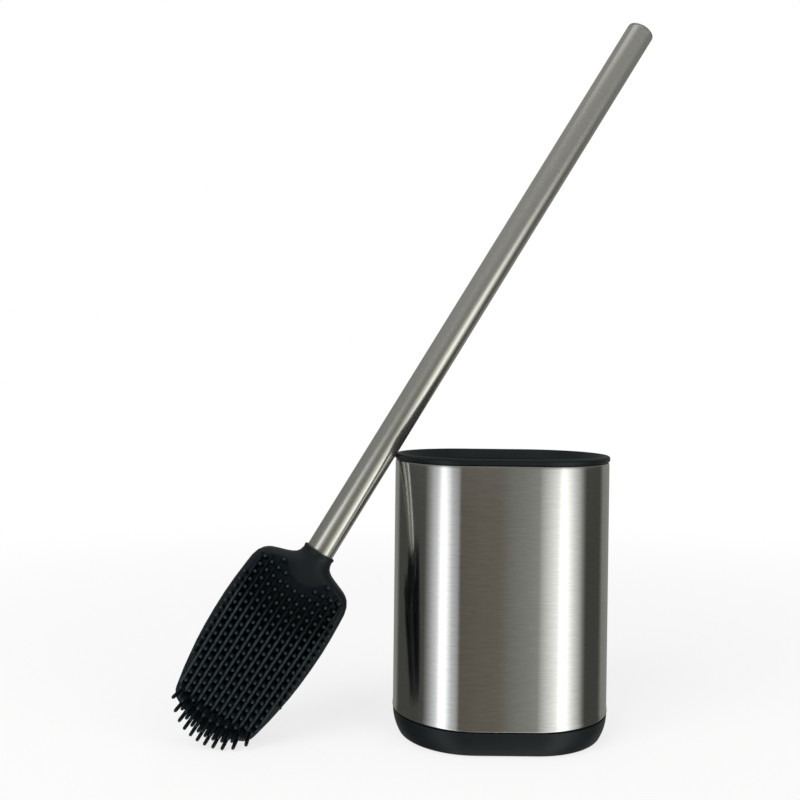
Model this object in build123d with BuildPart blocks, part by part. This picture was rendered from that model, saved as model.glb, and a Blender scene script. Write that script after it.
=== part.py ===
from build123d import *
from math import atan2, cos, radians, sin, sqrt
import os

# Toilet brush with its holder. The holder is a steel sleeve on a plastic base, with a
# lift-out plastic liner. The brush stands beside it and leans on the liner's rim.
# All sizes are in millimetres. The origin is the middle of the base, on the floor.

# Steel sleeve: rolled sheet of stadium section, with a folded hem at both edges
sleeve_width = 106.0
sleeve_depth = 80.5
sleeve_height = 123.0
sheet_thickness = 0.6
hem_width = 1.8
hem_height = 2.4
hem_round = 0.5

# Base: a moulded cup whose spigot stands inside the sleeve
base_height = 12.0
base_edge_round = 3.3
base_top_chamfer = 0.5
base_wall = 2.0
base_floor = 2.5
spigot_height = 12.0
spigot_clearance = 0.1
base_corner_round = 1.5

# Rubber pad let into the underside of the base
pad_inset = 9.0
pad_thickness = 2.8
pad_proud = 1.6

# Liner: a moulded bucket that hangs by its rim on the sleeve's top hem
liner_wall = 1.8
liner_clearance = 0.5
liner_draft_inset = 2.6
liner_floor = 2.0
liner_floor_gap = 0.5
liner_corner_round = 6.0
rim_shadow_gap = 0.6
rim_shadow_inset = 0.9
rim_overhang = 0.25
rim_lip_height = 2.5
rim_round = 1.9
rim_underside_round = 0.4
funnel_width = 2.6
funnel_depth = 4.0

# Handle: a steel tube with a pressed end cap and a nylon spigot in its lower end
tube_diameter = 14.0
tube_wall = 0.8
tube_showing = 310.3
tube_in_head = 15.0
cap_thickness = 1.4
cap_edge_round = 0.9
cap_plug_length = 8.0
spigot_in_tube = 40.0
spigot_stem_diameter = 7.6
spigot_stem_length = 22.0
stem_tip_chamfer = 0.8
spigot_chamfer = 1.0
socket_clearance = 0.05

# Brush head: a moulded paddle with a soft neck, and a nubbed pad on each face
head_length = 99.0
head_end_half_width = 21.5
head_end_sag = 5.6
head_end_round = 7.0
head_belly_half_width = 28.0
head_belly_height = 58.4
shoulder_half_width = 26.0
shoulder_drop = 8.2
shoulder_round = 7.5
paddle_half_thickness = 9.5
paddle_edge_half_thickness = 4.6
neck_wall = 0.8
neck_length = 4.5
neck_root_round = 4.9
neck_flare_height = 7.0
neck_merge = 1.0
collar_length = 3.0

# Nubbed pads: each lies in a flat-bottomed pocket in the paddle
pad_edge_band = 2.4
pad_seat = 4.8
pad_swell = 0.4
pad_neck_margin = 2.1
rib_width = 1.0
rib_height = 1.0
nub_pitch_across = 4.1
nub_pitch_along = 4.45
nub_side = 1.2
nub_length = 8.0
nub_root_depth = 1.2
nub_edge_margin = 1.3
nub_row_start = 1.6
nub_splay_across = 0.3
nub_splay_along = 12.0
end_splay = 52.0
end_splay_reach = 12.0

# Pose of the brush: how it leans, where on the rim's round end its tube rests, and how far
# the soft neck lets the head bend out of the handle's line
lean_right = 31.13
lean_back = 5.0
lean_point = 8.1
head_bend = 1.55
lean_gap = 0.3
floor_clearance = 0.1

# How close a flat face must lie to a height to be picked by it, and how many points of each edge
# of the head's outline are tried for its lowest
pick_tolerance = 0.01
outline_steps = 40

# Heights and insets that follow from the sizes above
sleeve_top = base_height + sleeve_height
rim_lip_bottom = sleeve_top + rim_shadow_gap
rim_top = rim_lip_bottom + rim_lip_height
base_floor_top = pad_thickness + base_floor
base_spigot_inset = hem_width + spigot_clearance
liner_top_inset = hem_width + liner_clearance
liner_bottom = base_floor_top + liner_floor_gap
liner_floor_top = liner_bottom + liner_floor
tube_radius = tube_diameter / 2
tube_bore_radius = tube_radius - tube_wall
tube_bottom = head_length - tube_in_head
tube_length = tube_in_head + tube_showing - cap_thickness
neck_radius = tube_radius + neck_wall
collar_bottom = head_length - collar_length
neck_flare_bottom = collar_bottom - neck_flare_height
neck_flare_radius = paddle_half_thickness - neck_merge
paddle_top_half_thickness = neck_radius - neck_merge
neck_root_height = head_length - neck_length
shoulder_height = neck_root_height - shoulder_drop
crown_drop = paddle_half_thickness - paddle_edge_half_thickness
crown_radius = (head_belly_half_width**2 + crown_drop**2) / (2 * crown_drop)
end_row_half_width = head_end_half_width - pad_edge_band - nub_edge_margin
end_row_radius = (end_row_half_width**2 + head_end_sag**2) / (2 * head_end_sag)
pad_half_width = head_belly_half_width - pad_edge_band
pad_neck_notch = tube_in_head - neck_length + pad_neck_margin
nub_columns = int(2 * pad_half_width / nub_pitch_across)
nub_rows = int(neck_root_height / nub_pitch_along)

os.makedirs("parts", exist_ok=True)


def stadium(inset, mode=Mode.ADD):
    """The sleeve's outline, drawn in by an inset, in the sketch that is open."""
    SlotOverall(sleeve_width - 2 * inset, sleeve_depth - 2 * inset, mode=mode)


# Base cup: floor, rounded outer wall and the spigot that carries the sleeve
with BuildPart() as base_cup:
    with BuildSketch(Plane.XY.offset(pad_proud)):
        stadium(0)
    extrude(amount=base_height - pad_proud)
    fillet(base_cup.edges().group_by(Axis.Z)[0], radius=base_edge_round)
    chamfer(base_cup.edges().group_by(Axis.Z)[-1], length=base_top_chamfer)
    with BuildSketch(Plane.XY.offset(base_height)):
        stadium(base_spigot_inset)
    extrude(amount=spigot_height)
    with BuildSketch(Plane.XY.offset(base_floor_top)):
        stadium(base_spigot_inset + base_wall)
    extrude(amount=base_height + spigot_height - base_floor_top, mode=Mode.SUBTRACT)
    cavity_floor = base_cup.faces().filter_by(Plane.XY).filter_by_position(
        Axis.Z, base_floor_top - pick_tolerance, base_floor_top + pick_tolerance
    )
    fillet(cavity_floor.edges(), radius=base_corner_round)
    with BuildSketch(Plane.XY.offset(pad_proud)):
        stadium(pad_inset)
    extrude(amount=pad_thickness - pad_proud, mode=Mode.SUBTRACT)
base_cup.part.label = "base_cup"
export_step(base_cup.part, "parts/base_cup.step")

# Non-slip pad: the rubber sheet that the holder stands on
with BuildPart() as non_slip_pad:
    with BuildSketch():
        stadium(pad_inset)
    extrude(amount=pad_thickness)
non_slip_pad.part.label = "non_slip_pad"
export_step(non_slip_pad.part, "parts/non_slip_pad.step")

# Steel sleeve: one wall of thin sheet, folded inwards into a hem at both edges
with BuildPart() as steel_sleeve:
    with BuildSketch(Plane.XY.offset(base_height)):
        stadium(0)
        stadium(sheet_thickness, mode=Mode.SUBTRACT)
    extrude(amount=sleeve_height)
    with BuildSketch(Plane.XY.offset(base_height), Plane.XY.offset(sleeve_top - hem_height)):
        stadium(0)
        stadium(hem_width, mode=Mode.SUBTRACT)
    extrude(amount=hem_height)
    hem_edges = [steel_sleeve.faces().sort_by(Axis.Z)[end].outer_wire().edges() for end in (0, -1)]
    fillet(hem_edges[0] + hem_edges[1], radius=hem_round)
steel_sleeve.part.label = "steel_sleeve"
export_step(steel_sleeve.part, "parts/steel_sleeve.step")

# Inner liner: a drafted bucket, open at the top, under a rounded rim with a sloped mouth
with BuildPart() as inner_liner:
    with BuildSketch(Plane.XY.offset(liner_bottom)):
        stadium(liner_top_inset + liner_draft_inset)
    with BuildSketch(Plane.XY.offset(sleeve_top)):
        stadium(liner_top_inset)
    loft(ruled=True)
    fillet(inner_liner.edges().group_by(Axis.Z)[0], radius=liner_corner_round)
    with BuildSketch(Plane.XY.offset(sleeve_top)):
        stadium(rim_shadow_inset)
    extrude(amount=rim_shadow_gap)
    with BuildSketch(Plane.XY.offset(rim_lip_bottom)):
        stadium(-rim_overhang)
    extrude(amount=rim_lip_height)
    fillet(inner_liner.edges().group_by(Axis.Z)[-1], radius=rim_round)
    rim_underside = inner_liner.faces().filter_by(Plane.XY).filter_by_position(
        Axis.Z, rim_lip_bottom - pick_tolerance, rim_lip_bottom + pick_tolerance
    )
    fillet(rim_underside.sort_by(SortBy.AREA)[-1].outer_wire().edges(), radius=rim_underside_round)
    with BuildSketch(Plane.XY.offset(liner_floor_top)):
        stadium(liner_top_inset + liner_draft_inset + liner_wall)
    with BuildSketch(Plane.XY.offset(rim_top)):
        stadium(liner_top_inset + liner_wall)
    loft(ruled=True, mode=Mode.SUBTRACT)
    bucket_floor = inner_liner.faces().filter_by(Plane.XY).filter_by_position(
        Axis.Z, liner_floor_top - pick_tolerance, liner_floor_top + pick_tolerance
    )
    fillet(bucket_floor.edges(), radius=liner_corner_round - liner_wall)
    with BuildSketch(Plane.XY.offset(rim_top - funnel_depth)):
        stadium(liner_top_inset + liner_wall)
    with BuildSketch(Plane.XY.offset(rim_top)):
        stadium(liner_top_inset + liner_wall - funnel_width)
    loft(ruled=True, mode=Mode.SUBTRACT)
inner_liner.part.label = "inner_liner"
export_step(inner_liner.part, "parts/inner_liner.step")


def head_outline(inset):
    """The head's outline seen from the front, drawn in by an inset, with its end low and its neck on top."""
    end_corner = (head_end_half_width - inset, head_end_sag + inset)
    belly = (head_belly_half_width - inset, head_belly_height)
    shoulder = (shoulder_half_width - inset, shoulder_height - inset)
    neck_root = (neck_radius - inset, neck_root_height - inset)
    collar_top = (neck_radius - inset, head_length - inset)
    with BuildSketch() as outline:
        with BuildLine():
            ThreePointArc(end_corner, (0, inset), (-end_corner[0], end_corner[1]))
            right_side = [ThreePointArc(end_corner, belly, shoulder), Polyline(shoulder, neck_root, collar_top)]
            mirror(right_side, about=Plane.YZ)
            Line(collar_top, (-collar_top[0], collar_top[1]))
        make_face()
        fillet(outline.vertices().group_by(Axis.Y)[0], radius=head_end_round - inset)
        fillet(outline.vertices().group_by(Axis.Y)[-3], radius=shoulder_round - inset)
    return outline.sketch


# Outline of the whole paddle, with a round where its shoulders meet the neck
with BuildSketch() as paddle_outline:
    add(head_outline(0))
    fillet(paddle_outline.vertices().group_by(Axis.Y)[-2], radius=neck_root_round)

# Outline of each nubbed pad: the paddle's outline inside its bare edge, notched round the neck
with BuildSketch() as pad_outline:
    add(head_outline(pad_edge_band))
    with Locations((0, neck_root_height)):
        Circle(pad_neck_notch, mode=Mode.SUBTRACT)

# The stretch of a pad that carries nubs
with BuildSketch() as nub_field:
    add(head_outline(pad_edge_band + nub_edge_margin))
    with Locations((0, neck_root_height)):
        Circle(pad_neck_notch + nub_edge_margin, mode=Mode.SUBTRACT)


def pad_surface(across_mm):
    """Height of a pad's crowned face above the head's middle plane."""
    return paddle_half_thickness - crown_radius + sqrt((crown_radius + pad_swell) ** 2 - across_mm**2)


def strip_edge(index):
    """Where a strip of the pad's face begins, counted from the left edge."""
    return (index - nub_columns / 2) * nub_pitch_across


def pad_section():
    """Half section of a pad: a flat strip for each column of nubs, with a low rib between strips."""
    points = [(-head_belly_half_width, pad_surface(head_belly_half_width))]
    for index in range(nub_columns + 1):
        edge = strip_edge(index)
        height = pad_surface(edge)
        left, right = edge - rib_width / 2, edge + rib_width / 2
        points += [(left, height), (left, height + rib_height), (right, height + rib_height), (right, height)]
    points += [(head_belly_half_width, pad_surface(head_belly_half_width))]
    return points + [(head_belly_half_width, 0), (-head_belly_half_width, 0)]


def nubs_of_a_pad():
    """Root point and direction of each nub, as (across, front, along) of the head."""
    field = nub_field.sketch.faces()[0]
    nubs = []
    for column in range(nub_columns):
        left, right = strip_edge(column), strip_edge(column + 1)
        across = (left + right) / 2
        surface = (pad_surface(left) + pad_surface(right)) / 2
        swing = nub_splay_across * atan2(pad_surface(left) - pad_surface(right), right - left)
        for row in range(nub_rows):
            bow = (1 - row / nub_rows) * (end_row_radius - sqrt(end_row_radius**2 - across**2))
            along = pad_edge_band + nub_row_start + row * nub_pitch_along + bow
            if not field.is_inside(Vector(across, along, 0)):
                continue
            end_nod = end_splay * max(0, 1 - along / end_splay_reach)
            nod = radians(nub_splay_along * (2 * along / shoulder_height - 1) - end_nod)
            direction = Vector(sin(swing), cos(swing) * cos(nod), sin(nod)).normalized()
            root = Vector(across, surface, along) - direction * nub_root_depth
            nubs.append((root, direction))
    return nubs


nubs = nubs_of_a_pad()

# Directions of the leaning handle, along it and across it, and of the head's face
along_dir = Vector(
    sin(radians(lean_right)) * cos(radians(lean_back)),
    sin(radians(lean_back)),
    cos(radians(lean_right)) * cos(radians(lean_back)),
)
across_dir = Vector(cos(radians(lean_right)), 0, -sin(radians(lean_right)))
front_dir = across_dir.cross(along_dir)

# Directions of the head, bent a little out of the handle's line at the neck
head_along = along_dir * cos(radians(head_bend)) + across_dir * sin(radians(head_bend))
head_across = head_along.cross(front_dir)

# The tube rests on the rounded edge of the rim's left end, and the head's lowest point on the floor
rim_outward = Vector(-cos(radians(lean_point)), -sin(radians(lean_point)), 0)
lean_normal = along_dir.cross(rim_outward.cross(Vector(0, 0, 1))).normalized()
rim_edge_centre = (
    Vector(-(sleeve_width - sleeve_depth) / 2, 0, rim_top - rim_round)
    + rim_outward * (sleeve_depth / 2 + rim_overhang - rim_round)
)
tube_at_rim = rim_edge_centre + lean_normal * (rim_round + lean_gap + tube_radius)
nub_half_rise = nub_side / 2 * (abs(head_across.Z) + abs(head_along.Z))
lowest_nub = min(
    tip.X * head_across.Z + side * tip.Y * front_dir.Z + tip.Z * head_along.Z - nub_half_rise
    for side in (1, -1)
    for tip in (root + direction * (nub_root_depth + nub_length) for root, direction in nubs)
)
lowest_edge = min(
    point.X * head_across.Z + point.Y * head_along.Z - (pad_surface(point.X) - pad_swell) * abs(front_dir.Z)
    for edge in paddle_outline.edges()
    for point in (edge @ (step / outline_steps) for step in range(outline_steps))
)
neck_top_height = floor_clearance - min(lowest_nub, lowest_edge) + head_length * head_along.Z
neck_top = tube_at_rim + along_dir * ((neck_top_height - tube_at_rim.Z) / along_dir.Z)
tube_foot = neck_top - along_dir * tube_in_head
head_end = neck_top - head_along * head_length

# Planes of the brush: across the handle at the tube's foot, and across the head and in its views
handle = Plane(tube_foot, x_dir=across_dir, z_dir=along_dir)
handle_axis = Axis(tube_foot, along_dir)
head_section = Plane(head_end, x_dir=head_across, z_dir=head_along)
front_view = Plane(head_end, x_dir=head_across, z_dir=front_dir)
back_view = Plane(head_end, x_dir=-head_across, z_dir=-front_dir)
side_view = Plane(head_end, x_dir=-front_dir, z_dir=head_across)

# Head frame: the moulded paddle, its neck round the tube, and a pocket for a pad on each face
with BuildPart() as head_frame:
    with BuildSketch(front_view):
        add(paddle_outline.sketch)
    extrude(amount=paddle_half_thickness, both=True)
    with BuildSketch(head_section):
        with BuildLine():
            front_crown = ThreePointArc(
                (-head_belly_half_width, -paddle_edge_half_thickness),
                (0, -paddle_half_thickness),
                (head_belly_half_width, -paddle_edge_half_thickness),
            )
            back_crown = ThreePointArc(
                (-head_belly_half_width, paddle_edge_half_thickness),
                (0, paddle_half_thickness),
                (head_belly_half_width, paddle_edge_half_thickness),
            )
            Line(front_crown @ 0, back_crown @ 0)
            Line(front_crown @ 1, back_crown @ 1)
        make_face()
    extrude(amount=head_length, mode=Mode.INTERSECT)
    with BuildSketch(side_view):
        with BuildLine():
            top_edge = Line(
                (-paddle_top_half_thickness, collar_bottom), (paddle_top_half_thickness, collar_bottom)
            )
            TangentArc(top_edge @ 1, (paddle_half_thickness, neck_flare_bottom), tangent=(0, -1))
            Polyline(
                (paddle_half_thickness, neck_flare_bottom),
                (paddle_half_thickness, 0),
                (-paddle_half_thickness, 0),
                (-paddle_half_thickness, neck_flare_bottom),
            )
            TangentArc(top_edge @ 0, (-paddle_half_thickness, neck_flare_bottom), tangent=(0, -1))
        make_face()
    extrude(amount=head_belly_half_width, both=True, mode=Mode.INTERSECT)
    with BuildSketch(front_view):
        with BuildLine():
            Polyline(
                (neck_radius, collar_bottom),
                (neck_radius, head_length),
                (0, head_length),
                (0, tube_bottom),
                (neck_flare_radius, tube_bottom),
                (neck_flare_radius, neck_flare_bottom),
            )
            TangentArc((neck_radius, collar_bottom), (neck_flare_radius, neck_flare_bottom), tangent=(0, -1))
        make_face()
    revolve(axis=Axis(head_end, head_along))
    with BuildSketch(front_view.offset(pad_seat), back_view.offset(pad_seat)):
        add(pad_outline.sketch)
    extrude(amount=paddle_half_thickness, mode=Mode.SUBTRACT)
    with BuildSketch(handle):
        Circle(tube_radius + socket_clearance)
    extrude(amount=tube_in_head + neck_wall, mode=Mode.SUBTRACT)
    with BuildSketch(handle.offset(-spigot_stem_length)):
        Circle(spigot_stem_diameter / 2 + socket_clearance)
    extrude(amount=spigot_stem_length, mode=Mode.SUBTRACT)
head_frame.part.label = "head_frame"
export_step(head_frame.part, "parts/head_frame.step")

# Nubbed pads: soft slabs with a crowned face, let into the pockets, with a field of nubs each
for pad_name, view in (("front_nub_pad", front_view), ("back_nub_pad", back_view)):
    nub_planes = [
        Plane(
            view.from_local_coords(Vector(root.X, root.Z, root.Y)),
            x_dir=view.x_dir,
            z_dir=view.x_dir * direction.X + view.z_dir * direction.Y + view.y_dir * direction.Z,
        )
        for root, direction in nubs
    ]
    with BuildPart() as nub_pad:
        with BuildSketch(view.offset(pad_seat)):
            add(pad_outline.sketch)
        extrude(amount=paddle_half_thickness)
        with BuildSketch(Plane(head_end, x_dir=-view.x_dir, z_dir=head_along)):
            Polygon(*pad_section(), align=None)
        extrude(amount=head_length, mode=Mode.INTERSECT)
        with BuildSketch(*nub_planes):
            Rectangle(nub_side, nub_side)
        extrude(amount=nub_root_depth + nub_length)
    nub_pad.part.label = pad_name
    export_step(nub_pad.part, f"parts/{pad_name}.step")

# Handle tube: plain steel tube from its socket in the head to the end cap
with BuildPart() as handle_tube:
    with BuildSketch(handle):
        Circle(tube_radius)
        Circle(tube_bore_radius, mode=Mode.SUBTRACT)
    extrude(amount=tube_length)
handle_tube.part.label = "handle_tube"
export_step(handle_tube.part, "parts/handle_tube.step")

# End cap: a steel disc with a rounded edge, whose plug is pressed into the tube
with BuildPart() as handle_end_cap:
    with BuildSketch(handle.offset(tube_length)):
        Circle(tube_radius)
    extrude(amount=cap_thickness)
    fillet(handle_end_cap.edges().sort_by(handle_axis)[-1], radius=cap_edge_round)
    with BuildSketch(handle.offset(tube_length - cap_plug_length)):
        Circle(tube_bore_radius - socket_clearance)
    extrude(amount=cap_plug_length)
handle_end_cap.part.label = "handle_end_cap"
export_step(handle_end_cap.part, "parts/handle_end_cap.step")

# Handle spigot: nylon core that joins the tube to the head
with BuildPart() as handle_spigot:
    with BuildSketch(handle):
        Circle(tube_bore_radius - socket_clearance)
    extrude(amount=spigot_in_tube)
    chamfer(handle_spigot.edges().sort_by(handle_axis)[-1], length=spigot_chamfer)
    with BuildSketch(handle.offset(-spigot_stem_length)):
        Circle(spigot_stem_diameter / 2)
    extrude(amount=spigot_stem_length)
    chamfer(handle_spigot.edges().sort_by(handle_axis)[0], length=stem_tip_chamfer)
handle_spigot.part.label = "handle_spigot"
export_step(handle_spigot.part, "parts/handle_spigot.step")
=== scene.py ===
import math

import bmesh
import bpy
import numpy as np
from mathutils import Euler, Matrix, Vector


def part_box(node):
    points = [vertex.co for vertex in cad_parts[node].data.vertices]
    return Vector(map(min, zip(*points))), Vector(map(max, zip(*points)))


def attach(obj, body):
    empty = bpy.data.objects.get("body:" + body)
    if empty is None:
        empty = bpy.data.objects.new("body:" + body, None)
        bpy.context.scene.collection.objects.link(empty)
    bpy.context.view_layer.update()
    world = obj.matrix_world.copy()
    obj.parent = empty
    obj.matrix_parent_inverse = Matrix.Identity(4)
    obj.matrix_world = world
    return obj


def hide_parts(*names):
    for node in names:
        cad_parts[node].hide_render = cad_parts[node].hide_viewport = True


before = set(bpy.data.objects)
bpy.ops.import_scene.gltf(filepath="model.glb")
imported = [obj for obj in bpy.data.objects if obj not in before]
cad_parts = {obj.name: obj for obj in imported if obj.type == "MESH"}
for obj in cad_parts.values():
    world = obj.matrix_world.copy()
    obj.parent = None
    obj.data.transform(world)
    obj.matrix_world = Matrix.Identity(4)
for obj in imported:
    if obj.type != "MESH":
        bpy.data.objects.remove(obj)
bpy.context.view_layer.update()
for leftover in ("Cube", "Camera", "Light"):
    if leftover in bpy.data.objects:
        bpy.data.objects.remove(bpy.data.objects[leftover])

# Base: a shallow cup moulded in black ABS, whose side draws in towards a rounded foot. Its top edge
# meets the sleeve over a shadow groove, and the spigot on it stands inside the sleeve and carries it.
MM = 0.001
holder_width = 106.0
holder_depth = 80.5
corner_segments = 32
stadium_merge = 0.01
piece_merge = 0.005
smooth_angle = 35
base_bottom = 0.4
base_top = 12.6
side_round = 22.0
foot_round = 1.2
foot_inset = 4.0
foot_turn = 210
groove_height = 0.5
groove_depth = 0.9
base_floor_top = 5.3
base_corner_round = 1.5
spigot_top = 24.0
spigot_inset = 1.9
spigot_wall = 2.0
pad_recess_inset = 9.0
pad_recess_top = 2.8


def open_piece(name):
    """Names the primitive that was just added and opens it in edit mode, all of it selected."""
    piece = bpy.context.object
    piece.name = piece.data.name = name
    bpy.ops.object.mode_set(mode="EDIT")
    bpy.ops.mesh.select_all(action="SELECT")
    return piece


def draw_stadium(name, inset, height):
    """Adds a stadium-shaped face, the holder's outline drawn in by an inset, ready to be extruded."""
    bpy.ops.object.select_all(action="DESELECT")
    bpy.ops.mesh.primitive_plane_add(size=MM)
    piece = open_piece(name)
    width, depth = holder_width - 2 * inset, holder_depth - 2 * inset
    bpy.ops.transform.resize(value=(width, depth, 1))
    bpy.ops.transform.translate(value=(0, 0, height * MM))
    bpy.ops.mesh.bevel(offset=depth / 2 * MM, segments=corner_segments, affect="VERTICES", clamp_overlap=False)
    bpy.ops.mesh.select_all(action="SELECT")
    bpy.ops.mesh.remove_doubles(threshold=stadium_merge * MM)
    return piece


def rounded(centre, radius, start, end, steps=6):
    """Points of a round in a profile, from one angle to another, as (inset, height)."""
    angles = [math.radians(start + (end - start) * step / steps) for step in range(steps + 1)]
    return [(centre[0] + radius * math.cos(angle), centre[1] + radius * math.sin(angle)) for angle in angles]


def carry_outline(profile):
    """Extrudes the selected stadium through a profile of (inset, height) points."""
    inset, height = profile[0]
    for next_inset, next_height in profile[1:]:
        rise = (0, 0, (next_height - height) * MM)
        bpy.ops.mesh.extrude_region_move(TRANSFORM_OT_translate={"value": rise})
        across = (holder_width - 2 * next_inset) / (holder_width - 2 * inset)
        deep = (holder_depth - 2 * next_inset) / (holder_depth - 2 * inset)
        bpy.ops.transform.resize(value=(across, deep, 1), center_override=(0, 0, 0))
        inset, height = next_inset, next_height


def close_piece(angle=smooth_angle):
    """Merges doubles, turns the faces outwards and shades the mesh that is in edit mode."""
    bpy.ops.mesh.select_all(action="SELECT")
    bpy.ops.mesh.remove_doubles(threshold=piece_merge * MM)
    bpy.ops.mesh.normals_make_consistent(inside=False)
    bpy.ops.object.mode_set(mode="OBJECT")
    bpy.ops.object.shade_smooth_by_angle(angle=math.radians(angle))


base_profile = [
    (pad_recess_inset, pad_recess_top),
    (pad_recess_inset, base_bottom),
    *rounded((foot_inset, base_bottom + foot_round), foot_round, 270, foot_turn),
    *rounded((side_round, base_top - groove_height), side_round, foot_turn, 180)[1:],
    (groove_depth, base_top - groove_height),
    (groove_depth, base_top),
    (spigot_inset, base_top),
    (spigot_inset, spigot_top),
    (spigot_inset + spigot_wall, spigot_top),
    *rounded(
        (spigot_inset + spigot_wall + base_corner_round, base_floor_top + base_corner_round),
        base_corner_round,
        180,
        270,
    ),
]
base = draw_stadium("base_moulding", *base_profile[0])
carry_outline(base_profile)
close_piece()


def linear(hex_colour):
    """An sRGB hex colour as the linear RGBA that shaders use."""
    channels = [int(hex_colour[i : i + 2], 16) / 255 for i in (1, 3, 5)]
    return (*[c / 12.92 if c <= 0.04045 else ((c + 0.055) / 1.055) ** 2.4 for c in channels], 1)


def add_node(tree, kind, settings=None, sockets=None):
    """Adds a node, sets its properties, and fills its input sockets with values or links."""
    node = tree.nodes.new(kind)
    for name, value in (settings or {}).items():
        setattr(node, name, value)
    for name, value in (sockets or {}).items():
        if isinstance(value, bpy.types.NodeSocket):
            tree.links.new(value, node.inputs[name])
        else:
            node.inputs[name].default_value = value
    return node


def start_material(name):
    """A new material with an empty node tree."""
    material = bpy.data.materials.new(name)
    material.use_nodes = True
    material.node_tree.nodes.clear()
    return material


# ABS from a satin-etched mould: the eye sees near-black with a soft sheen and a very fine grain.
# The grain is about 0.1 mm in truth, and is drawn at 0.5 mm so that it shows. The black varies a
# little where the plastic flowed.
abs_grain = 0.5
flow_size = 30.0
black_abs = start_material("satin_moulded_black_abs")
tree = black_abs.node_tree
coords = add_node(tree, "ShaderNodeTexCoord")
grain = add_node(
    tree, "ShaderNodeTexNoise", {}, {"Vector": coords.outputs["Object"], "Scale": 1 / (abs_grain * MM), "Detail": 2}
)
flow = add_node(tree, "ShaderNodeTexNoise", {}, {"Vector": coords.outputs["Object"], "Scale": 1 / (flow_size * MM)})
tint = add_node(
    tree,
    "ShaderNodeMix",
    {"data_type": "RGBA"},
    {"Factor": flow.outputs["Fac"], 6: linear("#0E1416"), 7: linear("#13191B")},
)
gloss = add_node(
    tree, "ShaderNodeMapRange", {}, {"Value": grain.outputs["Fac"], "To Min": 0.36, "To Max": 0.48}
)
bump = add_node(
    tree, "ShaderNodeBump", {}, {"Height": grain.outputs["Fac"], "Strength": 0.25, "Distance": 0.03 * MM}
)
shader = add_node(
    tree,
    "ShaderNodeBsdfPrincipled",
    {},
    {
        "Base Color": tint.outputs[2],
        "Roughness": gloss.outputs["Result"],
        "IOR": 1.53,
        "Specular IOR Level": 0.2,
        "Normal": bump.outputs["Normal"],
    },
)
add_node(tree, "ShaderNodeOutputMaterial", {}, {"Surface": shader.outputs["BSDF"]})
base.data.materials.append(black_abs)
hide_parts("base_cup")
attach(base, "holder")

# Non-slip pad: a sheet of rubber let into the underside of the base, so that the holder does not
# slide. It is die-cut, so its own solid has the right shape and only its finish is made here.
# Calendered rubber is a dull dark grey, with a crossed weave left by the press cloth, 1.2 mm apart.
# A wave texture's bands are wave_length apart at a scale of 1.
wave_length = math.pi / 10
press_cloth = 1.2
foot_rubber = start_material("calendered_pad_rubber")
tree = foot_rubber.node_tree
coords = add_node(tree, "ShaderNodeTexCoord")
threads = [
    add_node(
        tree,
        "ShaderNodeTexWave",
        {"bands_direction": direction},
        {"Vector": coords.outputs["Object"], "Scale": wave_length / (press_cloth * MM), "Distortion": 0.3},
    )
    for direction in ("X", "Y")
]
weave = add_node(
    tree, "ShaderNodeMath", {"operation": "MULTIPLY"}, {0: threads[0].outputs["Fac"], 1: threads[1].outputs["Fac"]}
)
tint = add_node(
    tree,
    "ShaderNodeMix",
    {"data_type": "RGBA"},
    {"Factor": weave.outputs["Value"], 6: linear("#1B1C1D"), 7: linear("#2B2D2E")},
)
bump = add_node(
    tree, "ShaderNodeBump", {}, {"Height": weave.outputs["Value"], "Strength": 0.6, "Distance": 0.2 * MM}
)
shader = add_node(
    tree,
    "ShaderNodeBsdfPrincipled",
    {},
    {"Base Color": tint.outputs[2], "Roughness": 0.85, "IOR": 1.52, "Normal": bump.outputs["Normal"]},
)
add_node(tree, "ShaderNodeOutputMaterial", {}, {"Surface": shader.outputs["BSDF"]})
foot_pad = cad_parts["non_slip_pad"]
foot_pad.data.materials.clear()
foot_pad.data.materials.append(foot_rubber)

# Sleeve: one sheet of stainless steel, rolled to the stadium outline and welded at the back,
# with both edges folded in to a hem. It drops over the base's spigot and stands on the base.
sheet = 0.6
hem_width = 1.8
hem_height = 2.4
hem_round = 0.5
sleeve_bottom = base_top
sleeve_top = 135.0
seam_width = 0.9
seam_height = 0.15
seam_edge_round = 0.12
hem_flare = 0.25
hem_lean = 0.12
flare_height = 3.0
lean_height = 1.6

sleeve_profile = [
    (hem_width, sleeve_bottom),
    *rounded((hem_round - hem_flare, sleeve_bottom + hem_round), hem_round, 270, 180),
    (-hem_flare / 2, sleeve_bottom + flare_height / 2),
    (0, sleeve_bottom + flare_height),
    (0, sleeve_top - lean_height),
    *rounded((hem_round + hem_lean, sleeve_top - hem_round), hem_round, 180, 90),
    (hem_width, sleeve_top),
    (hem_width, sleeve_top - hem_height),
    (sheet, sleeve_top - hem_height),
    (sheet, sleeve_bottom + hem_height),
    (hem_width, sleeve_bottom + hem_height),
    (hem_width, sleeve_bottom),
]
sleeve = draw_stadium("steel_sleeve_sheet", *sleeve_profile[0])
bpy.ops.mesh.delete(type="ONLY_FACE")
bpy.ops.mesh.select_mode(type="EDGE")
bpy.ops.mesh.select_all(action="SELECT")
carry_outline(sleeve_profile)
close_piece()
bpy.ops.object.mode_set(mode="EDIT")
bpy.ops.mesh.select_mode(type="FACE")
bpy.ops.mesh.select_all(action="DESELECT")
bpy.ops.mesh.primitive_cube_add(size=MM, location=(0, holder_depth / 2 * MM, (sleeve_bottom + sleeve_top) / 2 * MM))
bpy.ops.transform.resize(value=(seam_width, 2 * seam_height, sleeve_top - sleeve_bottom - 2 * hem_round))
bpy.ops.mesh.bevel(offset=seam_edge_round * MM, segments=3, affect="EDGES")
bpy.ops.object.mode_set(mode="OBJECT")
bpy.ops.object.shade_smooth_by_angle(angle=math.radians(smooth_angle))

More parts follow.
